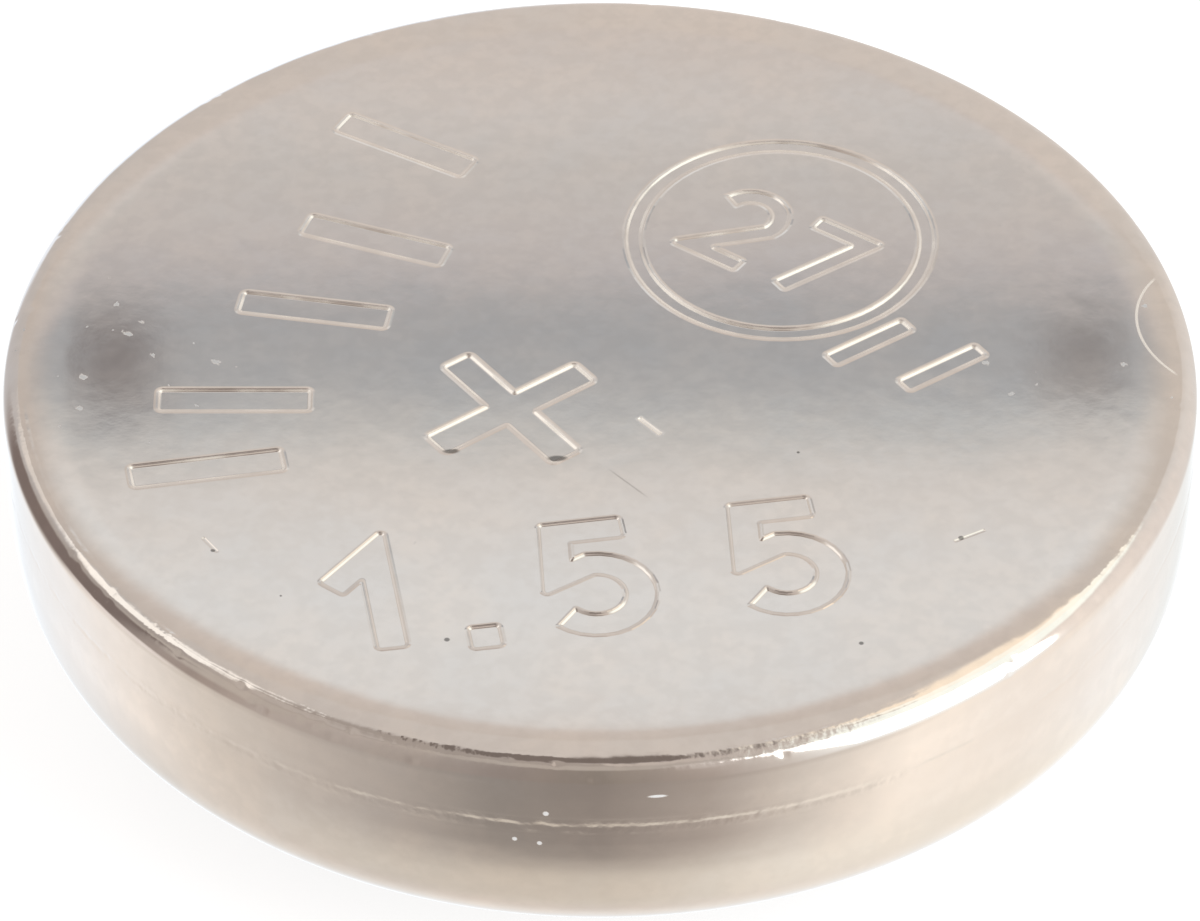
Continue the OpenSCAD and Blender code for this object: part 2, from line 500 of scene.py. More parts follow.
can_r = CAN_R / MM
top = TOP / MM
corner_drop = (ROLL_R - CORNER_R) * (1 - math.cos(math.radians(ROLL_A)))
corner_centre = Vector((can_r - CORNER_R, top - CORNER_R - corner_drop))
roll_centre = corner_centre - (ROLL_R - CORNER_R) * unit(90 - ROLL_A)
crimp_centre = Vector((can_r - TAPER_R, TAPER_START)) + (TAPER_R - CRIMP_R) * unit(-TAPER_A)
lip_centre = crimp_centre + (CRIMP_R - LIP_R) * unit(-CRIMP_A) + CONE_LENGTH * along(unit(-CRIMP_A))
for part, centre in (("corner", corner_centre), ("crimp", crimp_centre), ("lip", lip_centre)):
    print(f"centre of the {part}: {centre.x:.3f}, {centre.y:.3f}")


# %% [markdown]
# The two surfaces of the sheet run parallel, so one function draws both.

# %% The can's profile
def can_side(depth, pieces, taper_start=TAPER_START):
    """The can's line at a depth under its outer surface, from the roll-off to the lip's edge.

    The pieces are those of the roll-off, the corner, the wall, the taper, the crimp and the lip. A taper
    that starts higher is drawn with a larger radius, and the crimp and the lip move in with it.
    """
    roll, corner, wall, taper, crimp, lip = pieces
    taper_end = crimp_centre + CRIMP_R * unit(-TAPER_A)
    taper_radius = (taper_start - taper_end.y) / math.sin(math.radians(TAPER_A))
    moved = Vector((can_r - taper_radius * (1 - math.cos(math.radians(TAPER_A))) - taper_end.x, 0))
    straight = [Vector((can_r - depth, corner_centre.y + (taper_start - corner_centre.y) * i / wall))
                for i in range(1, wall)]
    lip_end = lip_centre + moved + (LIP_R - depth) * unit(-LIP_A) + LIP_LENGTH * along(unit(-LIP_A))
    return (
        arc(roll_centre, ROLL_R - depth, 90, 90 - ROLL_A, roll)
        + arc(corner_centre, CORNER_R - depth, 90 - ROLL_A, 0, corner)[1:]
        + straight
        + arc(Vector((can_r - taper_radius, taper_start)), taper_radius - depth, 0, -TAPER_A, taper)
        + arc(crimp_centre + moved, CRIMP_R - depth, -TAPER_A, -CRIMP_A, crimp)[1:]
        + arc(lip_centre + moved, LIP_R - depth, -CRIMP_A, -LIP_A, lip)
        + [lip_end])


print("inside of the sheet:", len(can_side(SHEET, (1, 2, 1, 1, 3, 2))), "points")

# %% [markdown]
# A die leaves a faint line round the wall where the taper begins, and tumbling wears the corner. So each
# point of the profile carries three more things: its outward direction, how much of the wear it takes,
# and the depth of the die's line there. The points stand close together on that line and wider beside it.

# %% Profile points with their wear
DIE_LINE_Z = 2.33
DIE_LINE_DEPTH, DIE_LINE_WIDTH = 0.005, 0.045
WEAR_TURN = 16


def wear_at(place):
    """Share of the wear at a point of the outer profile: full where the face turns into the corner."""
    from_corner = place - corner_centre
    if abs(from_corner.length - CORNER_R) > 0.01 or from_corner.y < 0:
        return 0.0
    turn = math.degrees(math.atan2(from_corner.x, from_corner.y))
    return math.exp(-((turn - WEAR_TURN) / WEAR_TURN) ** 2)


def die_line(place):
    """Depth of the die's line at a height of the wall."""
    above_line = place.y - DIE_LINE_Z
    on_line = place.x > can_r - 0.001
    return DIE_LINE_DEPTH * math.exp(-(above_line / DIE_LINE_WIDTH) ** 2) if on_line else 0.0


fine_steps = [0.011 * i for i in range(1, 5)] + [0.05 + 0.04 * i for i in range(5)]
fine_wall = [Vector((can_r, DIE_LINE_Z + step)) for step in reversed(fine_steps)]
fine_wall += [Vector((can_r, DIE_LINE_Z - step)) for step in [0.0] + fine_steps]
outside = can_side(0.0, (8, 16, 4, 5, 8, 5), OUTER_TAPER_START)
above = [p for p in outside if p.y > fine_wall[0].y + 0.01]
below = [p for p in outside if p.y < fine_wall[-1].y - 0.005]
outside = [Vector((DISC_R, top))] + above + fine_wall + below
inside = list(reversed(can_side(SHEET, (1, 2, 1, 1, 3, 2)))) + [Vector((0, top - SHEET))]
profile = [(p, wear_at(p), die_line(p)) for p in outside] + [(p, 0.0, 0.0) for p in inside]
print(len(outside), "points outside,", len(inside), "inside")

# %% [markdown]
# ## Turning a profile with Geometry Nodes
#
# A lathe follows a rule: the same line at every angle. The tree starts from a flat grid with one column
# for each angle and one row for each point of the profile, and moves every point of the grid to its place
# on the turned piece. On the way it takes the wear off: a slow noise for the uneven edge, and small dents
# scattered round the corner with a fixed seed.

# %% A tree with named inputs
class Tree(Wire):
    """A new Geometry Nodes tree with named inputs."""

    def __init__(self, name, inputs):
        super().__init__(bpy.data.node_groups.new(name, "GeometryNodeTree"))
        self.inputs = {}
        for label, kind in inputs.items():
            made = self.tree.interface.new_socket(label, in_out="INPUT", socket_type="NodeSocket" + kind)
            self.inputs[label] = made.identifier
        self.tree.interface.new_socket("Geometry", in_out="OUTPUT", socket_type="NodeSocketGeometry")
        self.source = self.node("NodeGroupInput")

    def input(self, label):
        return self.source.part(label)

    def output(self, geometry):
        self.node("NodeGroupOutput", None, {0: geometry})


lathe = Tree("turned_piece", {
    "Profile": "Object", "Points": "Int", "Columns": "Int", "Wear": "Float", "Dents": "Int",
    "Dent depth": "Float", "Corner radius": "Float", "Corner height": "Float", "Seed": "Int",
    "Material": "Material"})
print("inputs:", ", ".join(lathe.inputs))

# %% [markdown]
# Points of the grid are numbered column by column, so a point's number gives its angle and its row.

# %% From the grid to the profile
grid = lathe.node("GeometryNodeMeshGrid", None, {
    "Size X": 1.0, "Size Y": 1.0,
    "Vertices X": lathe.input("Columns") + 1, "Vertices Y": lathe.input("Points")})
index = lathe.node("GeometryNodeInputIndex")
column = ((index + 0.5) / lathe.input("Points")).math("FLOOR")
row = (index - column * lathe.input("Points")).math("ROUND")
line = lathe.node("GeometryNodeObjectInfo", {"transform_space": "ORIGINAL"},
                  {"Object": lathe.input("Profile")}, "Geometry")


def sampled(name, data_type):
    """A named attribute of the profile, read at this point's row."""
    value = lathe.node("GeometryNodeInputNamedAttribute", {"data_type": data_type},
                       {"Name": name}, "Attribute")
    return lathe.node("GeometryNodeSampleIndex", {"data_type": data_type, "domain": "POINT"},
                      {"Geometry": line, "Value": value, "Index": row})


angle = column / lathe.input("Columns") * (2 * math.pi)
cosine, sine = angle.math("COSINE"), angle.math("SINE")
radius, _, height = sampled("position", "FLOAT_VECTOR").split()
out_radial, _, out_height = sampled("outward", "FLOAT_VECTOR").split()
share = sampled("wear", "FLOAT")
die_depth = sampled("line", "FLOAT")
ring = lathe.vector(cosine * radius, sine * radius, height)
print("on the profile:", len(lathe.tree.nodes), "nodes")

# %% [markdown]
# Wear only takes metal off, along each point's outward direction, so the can stays inside its box.

# %% Wear and dents
DENT_R = 0.055 * MM
DENT_LOWEST, DENT_HIGHEST = -0.09 * MM, 0.06 * MM
WELD = 0.0001 * MM


def random_value(low, high, seed):
    return lathe.node("FunctionNodeRandomValue", {"data_type": "FLOAT"}, {2: low, 3: high, "Seed": seed}, 1)


slow = noise_mm(ring, 0.5)
quick = noise_mm(ring, 0.14, 1.0)
uneven = slow.fade(0.30, 0.75) * 0.5 + quick.fade(0.3, 0.8) * 0.5
die_break = lathe.noise(lathe.vector(cosine * 5, sine * 5, 0.0), 3.0, 2.0).fade(0.35, 0.6, 0.25, 1.0)
die_break = die_break * quick.fade(0.3, 0.7, 0.6, 1.2)

dent_points = lathe.node("GeometryNodePoints", None, {"Count": lathe.input("Dents")})
dent_angle = random_value(0.0, 2 * math.pi, lathe.input("Seed"))
dent_drop = random_value(DENT_LOWEST, DENT_HIGHEST, lathe.input("Seed") + 1)
dent_radius = lathe.input("Corner radius") + dent_drop
dent_place = lathe.vector(
    dent_angle.math("COSINE") * dent_radius,
    dent_angle.math("SINE") * dent_radius,
    lathe.input("Corner height") - dent_drop)
dent_centres = lathe.node("GeometryNodeSetPosition", None, {"Geometry": dent_points, "Position": dent_place})
to_dent = lathe.node("GeometryNodeProximity", {"target_element": "POINTS"},
                     {"Geometry": dent_centres, "Sample Position": ring}, "Distance")
dent = to_dent.fade(DENT_R, 0.0) * lathe.input("Dent depth")

taken = share * uneven * lathe.input("Wear") + dent + die_depth * die_break
placed = lathe.vector(
    cosine * (radius - out_radial * taken),
    sine * (radius - out_radial * taken),
    height - out_height * taken)
turned = lathe.node("GeometryNodeSetPosition", None, {"Geometry": grid, "Position": placed})
welded = lathe.node("GeometryNodeMergeByDistance", None, {"Geometry": turned, "Distance": WELD})
smooth = lathe.node("GeometryNodeSetShadeSmooth", None, {"Geometry": welded})
real = lathe.node("GeometryNodeRealizeInstances", None, {"Geometry": smooth})
coated = lathe.node("GeometryNodeSetMaterial", None, {"Geometry": real, "Material": lathe.input("Material")})
lathe.output(coated)
print("turning tree:", len(lathe.tree.nodes), "nodes")

# %% [markdown]
# The nodes read the profile from an object, so its points carry their values as attributes. The tree is
# run once, and what is left is a plain mesh.

# %% Running the tree
HALF_TURN = 0.7  # about the sine of 45 degrees: halfway round the corner


def profile_object(name, rows):
    """Profile in the half plane y = 0, with what each of its points carries."""
    points = [row[0] for row in rows]
    obj = mesh_object(name, [(p.x * MM, 0, p.y * MM) for p in points],
                      [(i, i + 1) for i in range(len(rows) - 1)], [])
    mesh = obj.data
    for label, kind in (("outward", "FLOAT_VECTOR"), ("wear", "FLOAT"), ("line", "FLOAT")):
        mesh.attributes.new(label, kind, "POINT")
    outward, share, line = (mesh.attributes[label] for label in ("outward", "wear", "line"))
    for i, (place, amount, depth) in enumerate(rows):
        before, after = points[max(i - 1, 0)], points[min(i + 1, len(points) - 1)]
        run = (after - before).normalized()
        outward.data[i].vector = (-run.y, 0, run.x)
        share.data[i].value = amount
        line.data[i].value = depth * MM
    return obj


def turned_piece(name, rows, material, columns, wear, dents, dent_depth, seed):
    """Plain mesh object of a profile, turned about the axis by the tree."""
    source = profile_object(name + "_profile", rows)
    blank = new_object(name, bpy.data.meshes.new(name))
    modifier = blank.modifiers.new("turning", "NODES")
    values = {
        "Profile": source, "Points": len(rows), "Columns": columns, "Wear": wear * MM, "Dents": dents,
        "Dent depth": dent_depth * MM, "Seed": seed, "Material": material,
        "Corner radius": (corner_centre.x + HALF_TURN * CORNER_R) * MM,
        "Corner height": (corner_centre.y + HALF_TURN * CORNER_R) * MM}
    modifier.node_group = lathe.tree
    for label, value in values.items():
        modifier[lathe.inputs[label]] = value
    finished = blank.evaluated_get(bpy.context.evaluated_depsgraph_get())
    mesh = bpy.data.meshes.new_from_object(finished)
    blank.modifiers.remove(modifier)
    blank.data = mesh
    bpy.data.objects.remove(source)
    print(name + ":", len(mesh.vertices), "vertices,", len(mesh.polygons), "faces")
    return blank

# %% [markdown]
# ## The pressed marks
#
# The marks are pressed into the face with a punch, so each one has a flat floor, steep walls and edges
# that are slightly rounded. A mark is a closed outline. The same outline is repeated further in and
# deeper, which draws the wall's section, and a Delaunay triangulation fills the face between all these
# loops. That keeps the face truly flat, which a polished surface needs, and the walls crisp.
#
# The marks are generic: the polarity cross, the voltage, a row of plain bars, and a number in a ring.

# %% Section through the wall of a mark
WALL_WIDTH = 0.056
WALL_DEPTH = 0.017
WALL_PIECES = 8


def wall_step(share):
    """Step of the wall at a share of the way down."""
    depth = WALL_DEPTH * share * share * (3 - 2 * share)
    return WALL_WIDTH * (0.5 - share), depth, math.sin(math.pi * share) ** 0.5, share, 0.0


WALL_STEPS = [  # distance outside the outline, depth, and how much this is wall, floor and burr
    (1.5 * WALL_WIDTH, 0.0, 0.0, 0.0, 0.0),
    (0.9 * WALL_WIDTH, 0.0, 0.3, 0.0, 1.0),
    (0.62 * WALL_WIDTH, 0.0, 0.3, 0.0, 0.4),
    *(wall_step(piece / WALL_PIECES) for piece in range(WALL_PIECES + 1)),
    (-0.62 * WALL_WIDTH, WALL_DEPTH, 0.0, 1.0, 0.0),
]
print("a mark's wall:", len(WALL_STEPS), "loops, down to", WALL_DEPTH, "mm")

# %% [markdown]
# Every outline runs anticlockwise. A ring has a second outline inside it that runs the other way, so for
# both of them "outside" is the side of the untouched face.

# %% Outlines of the marks
def turned_by(points, angle, centre):
    """Points turned by an angle in degrees and carried to a centre."""
    c, s = math.cos(math.radians(angle)), math.sin(math.radians(angle))
    return [Vector((centre[0] + c * x - s * y, centre[1] + s * x + c * y)) for x, y in points]


def bar(centre, angle, length, width):
    a, b = length / 2, width / 2
    return [turned_by([(-a, -b), (a, -b), (a, b), (-a, b)], angle, centre)]


def cross(centre, angle, reach, width):
    a, b = reach, width / 2
    quarter = [(b, b), (b, a), (-b, a)]
    outline = []
    for turn in range(4):
        outline += turned_by(quarter, 90 * turn, (0, 0))
    return [turned_by(outline, angle, centre)]


def stroke(path, width):
    """Outline of a line of constant width that follows a path."""
    def beside(side):
        points = []
        for i, place in enumerate(path):
            before = (place - path[i - 1]).normalized() if i else None
            after = (path[i + 1] - place).normalized() if i + 1 < len(path) else None
            first, second = before or after, after or before
            normal = Vector((first.y, -first.x)) + Vector((second.y, -second.x))
            normal = normal / (1 + first.dot(second))
            points.append(place + side * width / 2 * normal)
        return points
    return beside(1) + list(reversed(beside(-1)))


def circle(radius, count):
    return [radius * unit(360 * i / count) for i in range(count)]


def ring_mark(centre, radius, width):
    outer = [Vector(centre) + p for p in circle(radius + width / 2, 64)]
    inner = [Vector(centre) + p for p in circle(radius - width / 2, 64)]
    return [outer, list(reversed(inner))]


# %% [markdown]
# A digit on a punch is one line of even width. So each is a path, in a cell one unit high about the
# origin, and a stroke follows it.

# %% Digits drawn as single strokes
DIGITS = {
    "1": [(-0.3, 0.18), (0.04, 0.5), (0.04, -0.5)],
    "5": [(0.28, 0.5), (-0.2, 0.5), (-0.25, 0.03),
          *(Vector((0, -0.18)) + 0.32 * unit(angle) for angle in range(90, -150, -12))],
    "2": [*(Vector((0, 0.2)) + 0.3 * unit(angle) for angle in range(160, -30, -12)),
          (-0.27, -0.5), (0.32, -0.5)],
    "7": [(-0.3, 0.5), (0.3, 0.5), (-0.08, -0.5)],
}


def digit(sign, centre, angle, height, width):
    """Outline of a digit whose overall height, with the stroke's width, is as given."""
    scale = height - width
    path = [Vector(point) * scale for point in DIGITS[sign]]
    return [turned_by(stroke(path, width), angle, centre)]


print("digits:", ", ".join(sorted(DIGITS)))

# %% [markdown]
# Nothing lines the can up in the press, so the marks lie at any angle. Their places are in millimetres
# from the axis. Scratches are made in the same way as marks, only narrow, shallow and without a burr.

# %% Places of the marks
CROSS_MIDDLE = (-0.86, -0.70)
POLARITY = [cross(CROSS_MIDDLE, 37, 0.88, 0.30)]
ROW_TILT = 9.2
ROW_MIDDLE, ROW_ALONG = Vector((0.03, -3.12)), unit(ROW_TILT)
VOLTAGE = [
    digit("1", ROW_MIDDLE - 2.15 * ROW_ALONG, ROW_TILT, 1.6, 0.27),
    bar(ROW_MIDDLE - 1.22 * ROW_ALONG + 0.66 * along(ROW_ALONG), ROW_TILT, 0.28, 0.28),
    digit("5", ROW_MIDDLE - 0.10 * ROW_ALONG, ROW_TILT, 1.6, 0.27),
    digit("5", ROW_MIDDLE + 1.72 * ROW_ALONG, ROW_TILT, 1.6, 0.27),
]
BAR_PLACES = [(-1.95, 3.33), (-2.22, 1.84), (-2.79, 0.77), (-3.53, -0.58), (-3.76, -1.58)]
BARS = [bar(place, 150 + 10 * i, 1.45, 0.29) for i, place in enumerate(BAR_PLACES)]
NUMBER = [
    ring_mark((1.78, 1.86), 1.45, 0.13),
    digit("2", (1.38, 2.05), -35, 1.15, 0.15),
    digit("7", (2.12, 1.52), -35, 1.15, 0.15),
    bar((2.62, 0.28), 35, 0.9, 0.17),
    bar((3.32, -0.10), 35, 0.9, 0.17),
]
SCRATCHES = [
    [stroke([Vector(start), Vector(end)], width)] for start, end, width in (
        ((0.38, -0.85), (0.58, -1.08), 0.034),
        ((-3.76, -2.58), (-3.62, -2.78), 0.03),
        ((3.36, -2.63), (3.65, -2.47), 0.026))]
MARKS = [  # how deep, burr, burnish with painted highlight on walls, then on floor, outlines
    (0.7, 1.0, 0.9, 0.0, POLARITY), (0.55, 1.0, 0.2, 0.0, VOLTAGE), (0.65, 1.0, 0.7, 0.0, BARS),
    (0.65, 1.0, 0.7, 0.0, NUMBER), (0.4, 0.0, 1.0, 1.0, SCRATCHES[:1]), (0.3, 0.0, 0.0, 0.0, SCRATCHES[1:])]
print(sum(len(row[-1]) for row in MARKS), "marks")

# %% [markdown]
# A punch has no perfectly sharp corner. As an outline moves inwards or outwards, each corner keeps a small
# radius of its own. The guard points beside it keep long thin triangles away from the bend.

# %% Parallel outlines with rounded corners
CORNER_ROUND = 0.035
SHARPEST = 0.006
GUARD = 0.02
SOFT_TURN = math.radians(25)
ARC_STEP = 18


def parallel(outline, distance):
    """Outline at a distance outside another, with its corners rounded and a guard point beside each."""
    count = len(outline)
    runs = [(outline[(i + 1) % count] - outline[i]).normalized() for i in range(count)]
    turns = [math.atan2(runs[i - 1].cross(runs[i]), runs[i - 1].dot(runs[i])) for i in range(count)]
    corners = []
    for i in range(count):
        normal = Vector((runs[i - 1].y, -runs[i - 1].x)) + Vector((runs[i].y, -runs[i].x))
        corners.append(outline[i] + normal * distance / (1 + runs[i - 1].dot(runs[i])))
    points = []
    for i, corner in enumerate(corners):
        if abs(turns[i]) < SOFT_TURN:
            points.append(corner)
            continue
        room = min((corner - corners[i - 1]).length, (corners[(i + 1) % count] - corner).length)
        bend = math.copysign(1, turns[i])
        spread = math.tan(abs(turns[i]) / 2)
        radius = min(max(CORNER_ROUND + bend * distance, SHARPEST), 0.25 * room / spread)
        reach = radius * spread
        guard = min(GUARD, 0.15 * room)
        start = corner - runs[i - 1] * reach
        inward = bend * Vector((-runs[i - 1].y, runs[i - 1].x))
        first = math.degrees(math.atan2(-inward.y, -inward.x))
        pieces = max(2, round(math.degrees(abs(turns[i])) / ARC_STEP))
        points.append(start - runs[i - 1] * guard)
        points += arc(start + inward * radius, radius, first, first + math.degrees(turns[i]), pieces)
        points.append(corner + runs[i] * (reach + guard))
    return points


# %% [markdown]
# The disc of the face ends where the turned part of the can begins, with the same number of points on
# its edge, so that the two weld into one skin.

# %% The face
COLUMNS = 1024
TOUCHING = 1e-7  # millimetres, nearer than which two points count as one


def face_disc(name, material):
    """Flat disc with every mark pressed into it.

    It carries two values: burnish and highlight, which is highest on the walls of the marks and is partly a
    painted highlight, and burr, which is highest on the ridge of metal that the punch pushes up round each
    mark.
    """
    places, edges, carried = [], [], []

    def add_loop(points, *values):
        first, count = len(places), len(points)
        places.extend(points)
        edges.extend((first + i, first + (i + 1) % count) for i in range(count))
        carried.extend([values] * count)

    add_loop(circle(DISC_R, COLUMNS), 0.0, 0.0, 0.0)
    for pressed, raised, wall_burnish_and_highlight, floor_burnish_and_highlight, marks in MARKS:
        for outline in (outline for mark in marks for outline in mark):
            for distance, depth, wall, floor_share, burr in WALL_STEPS:
                burnish = max(wall * wall_burnish_and_highlight, floor_share * floor_burnish_and_highlight)
                loop = parallel(outline, distance * pressed)
                add_loop(loop, depth * pressed, burnish, burr * pressed * raised)
    found, _, faces, origins, _, _ = delaunay_2d_cdt(places, edges, [], 0, TOUCHING)
    depths, burnish_and_highlight_values, burrs = zip(*(carried[given[0]] for given in origins))
    obj = mesh_object(name, [
        (p.x * MM, p.y * MM, (top - depth) * MM) for p, depth in zip(found, depths)], [], faces)
    for label, values in (("burnish", burnish_and_highlight_values), ("burr", burrs)):
        obj.data.attributes.new(label, "FLOAT", "POINT").data.foreach_set("value", values)
    obj.data.materials.append(material)
    obj.data.polygons.foreach_set("use_smooth", [True] * len(faces))
    print(f"{name}: {len(places)} points given, {len(found)} used, {len(faces)} triangles")
    return obj

# %% [markdown]
# ## Finishes
#
# Nickel plate is a warm, slightly yellow white. A finish is never quite even, so each material varies its
# colour, its roughness and a very fine bump with noises read at the object's own coordinates.

# %% Helpers for finishes
NICKEL = (0.67, 0.615, 0.565)


def own_place(name, node=None):
    """New material, its tree and the wire of the object's own coordinates. A node can take it at once."""
    material, paint = new_material(name)
    if node:
        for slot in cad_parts[node].material_slots:
            slot.material = material
        print(node, "has", name)
    return material, paint, paint.node("TexCoord", None, None, "Object")


def in_mm(place):
    return [coordinate / MM for coordinate in place.split()]


def principled(paint, base, roughness, relief, metallic=0.0):
    """Puts a finish together. Its fine relief is a height in millimetres."""
    normal = paint.node("Bump", None, {"Height": relief, "Distance": MM})
    surface = paint.node("BsdfPrincipled", None, {
        "Base Color": base, "Roughness": roughness, "Metallic": metallic, "Normal": normal})
    paint.node("OutputMaterial", None, {"Surface": surface})


def shade(colour, factor):
    return tint(*(channel * factor for channel in colour))


def specks(place, spacing, size, share):
    """Mask of small specks scattered through space.

    Every cell has its own three numbers. It has a speck where the first is low; the second sets the size.
    """
    cells = place.node("TexVoronoi", None, {"Vector": place, "Scale": 1 / (spacing * MM)})
    present, bigness, _ = cells.part("Color").split()
    distance = cells / bigness.fade(0, 1, 0.4, 1.1)
    return distance.fade(size / spacing, 0.6 * size / spacing) * present.fade(share, share - 0.01)


def away(first, second, at):
    """Distance from a place given by two coordinates."""
    a, b = first - at[0], second - at[1]
    return (a * a + b * b).math("SQRT")


def spots(first, second, rows):
    """Mask of soft round spots. One with a narrowness below 1 is stretched along the first coordinate."""
    mask = 0.0
    for at_first, at_second, size, narrow in rows:
        distance = away(first * narrow, second, (at_first * narrow, at_second))
        mask = distance.fade(size, size * 0.5).math("MAXIMUM", mask)
    return mask


print("nickel reflects", NICKEL)

# %% [markdown]
# ### Plate of the can
#
# Electroplating isn't quite even. Its tone drifts over a millimetre or so, and from near it is mottled
# and grainy. On the wall, soft streaks run round, where cells have rolled against each other.

# %% Noises of the plate
nickel_plate, paint, place = own_place("nickel_plate")
x, y, z = in_mm(place)
radius = (x * x + y * y).math("SQRT")
on_face = z.fade(2.9, 3.0)
on_wall = z.fade(2.98, 2.85)
near_edge = radius.fade(4.5, 5.4)
cloud = noise_mm(place, 1.3, 4.0, 0.6)
waves = noise_mm(place, 0.7)
mottle = noise_mm(place, 0.22, 2.0, 0.6)
fine = noise_mm(place, 0.12, 3.0, 0.6)
grain = noise_mm(place, 0.03)
streaks = paint.noise(paint.vector(x * 0.12, y * 0.12, z), 2.4, 1.0, 0.5)
print("noises of the plate:", sum(node.type == "TEX_NOISE" for node in paint.tree.nodes))

# %% [markdown]
# The punch burnishes the walls of a mark and pushes up a low burr beside them. The mesh carries both values.
# The burnish lightens the walls and makes them rougher, so it is partly a painted highlight: the bright lines
# along the edges. That painted shine is patchy, and less in the middle of the cross. A short scratch, an arc
# of a circle, runs over the rim on the right, and is lightened in the same way.

# %% Burnish, painted highlight and burr
# The painted highlight is weaker in the middle of the cross.
CROSS_WEAKER_HIGHLIGHT = [(*CROSS_MIDDLE, 0.45, 1)]  # x, y, size, narrowness
SCRATCH_CENTRE = (6.325, 0.62)
SCRATCH_R = 1.085
burnish, burr = (paint.node("Attribute", {"attribute_name": label}, None, "Fac")
                 for label in ("burnish", "burr"))
burnish = burnish * noise_mm(place, 0.5).fade(0.35, 0.65, 0.3, 1.1)
burnish = burnish * (1 - spots(x, y, CROSS_WEAKER_HIGHLIGHT) * 0.6)
# The rim scratch is lightened like the walls: burnish and painted highlight.
from_scratch = (away(x, y, SCRATCH_CENTRE) - SCRATCH_R).math("ABSOLUTE")
burnish = burnish + from_scratch.fade(0.018, 0.008) * radius.fade(5.62, 5.55) * z.fade(2.9, 3.0) * 0.7
print(f"rim scratch: {SCRATCH_CENTRE[0] - SCRATCH_R:.2f} mm from the axis")

# %% [markdown]
# Dust gathers in a band across the middle, mostly at its left end. The largest dark spots and specks of dust
# have places of their own, and there is one short faint line. Two stretched dark spots just below the feet of
# the cross are a painted shadow.

# %% Dust, dark spots and painted shadow
# Round dark spots, and two stretched ones below the feet of the cross that are a painted shadow.
DARK_SPOTS_AND_SHADOWS_ON_FACE = [  # x, y, size, narrowness
    (-1.43, -4.01, 0.035, 1), (2.44, -4.06, 0.03, 1), (1.9, -1.35, 0.02, 1), (-3.0, -3.4, 0.015, 1),
    (-1.43, -1.33, 0.05, 0.5), (-0.41, -1.43, 0.06, 0.5), (-3.66, -2.76, 0.03, 1), (3.42, -2.58, 0.035, 1)]
DUST_ON_WALL = [  # x, height, size, narrowness
    (-0.50, 2.49, 0.035, 1), (-0.79, 2.14, 0.03, 1), (-0.56, 2.11, 0.03, 1), (0.53, 2.71, 0.022, 0.2)]
LINE_X, LINE_Y = 0.06, -1.57
LINE_ACROSS_X, LINE_ACROSS_Y = 0.738, 0.675
in_band = x.math("ABSOLUTE").fade(3.2, 4.4) * y.math("ABSOLUTE").fade(1.4, 0.9) * x.fade(0, -1, 0.35, 1.0)
uneven = (fine - 0.5) * 0.14 * MM
on_plan = paint.vector(x * MM + uneven, y * MM - uneven, 0.0)
dust = specks(on_plan, 0.22, 0.038, in_band * 0.7 + 0.012) * on_face
dust = dust.math("MAXIMUM", spots(x, z, DUST_ON_WALL) * y.fade(-5, -5.5))
dirt_and_shadow = specks(on_plan, 0.5, 0.025, 0.02).math("MAXIMUM", spots(x, y, DARK_SPOTS_AND_SHADOWS_ON_FACE))
beside_line = ((x - LINE_X) * LINE_ACROSS_X + (y - LINE_Y) * LINE_ACROSS_Y).math("ABSOLUTE")
faint_line = beside_line.fade(0.016, 0.004) * x.fade(0.04, 0.2) * x.fade(0.48, 0.36) * 0.35
dirt_and_shadow = dirt_and_shadow.math("MAXIMUM", faint_line) * on_face
print(len(DARK_SPOTS_AND_SHADOWS_ON_FACE), "spots of dirt on the face,", len(DUST_ON_WALL), "of dust on the wall")

# %% [markdown]
# The colours lie one over the other, from the bare plate up to the dust.

# %% Colour of the plate
tone = cloud.fade(0.3, 0.7).mix(tint(0.662, 0.618, 0.577), tint(0.702, 0.634, 0.573))
tone = (on_wall * streaks.fade(0.3, 0.7, 0.0, 0.5)).mix(tone, shade(NICKEL, 0.9))
tone = (mottle.fade(0.35, 0.65) * 0.5).mix(tone, shade(NICKEL, 0.93))
# Lighter walls of the marks and scratches: partly burnished metal, partly a painted highlight.
tone = burnish.mix(tone, tint(0.95, 0.91, 0.84))
# Darker for dirt specks, dark spots and the painted shadow below the feet of the cross.
tone = dirt_and_shadow.mix(tone, shade(NICKEL, 0.35))
tone = dust.mix(tone, on_wall.mix(grey(0.5), grey(0.75)))
print("colours mixed:", sum(node.type == "MIX" for node in paint.tree.nodes))

# %% [markdown]
# Cells knock against each other in trays, which roughens the corner round the face. It is rougher in
# front, in patches, and torn in one place. The die's line on the wall is ragged too. All relief is in
# millimetres: the long waves move the reflections, and the grain softens them.

# %% Edge wear, roughness and relief
TORN_X = 1.6
on_front = y.fade(0.5, -1.5) * x.fade(2.0, -4.0, 0.6, 1.8)
torn_at = (x - TORN_X).math("ABSOLUTE").fade(1.1, 0.4) * y.fade(0, -1)
on_edge = radius.fade(5.56, 5.61) * radius.fade(5.76, 5.70) * z.fade(2.88, 2.94)
patchy = noise_mm(place, 0.9, 1.0).fade(0.4, 0.65, 0.1, 0.5)
ragged = noise_mm(place, 0.09, 1.5) * on_edge * (patchy * on_front + torn_at * 0.85)
beside_die = (z - DIE_LINE_Z).math("ABSOLUTE").fade(0.1, 0.02)
die_mark = noise_mm(place, 0.08, 1.5) * beside_die * on_wall

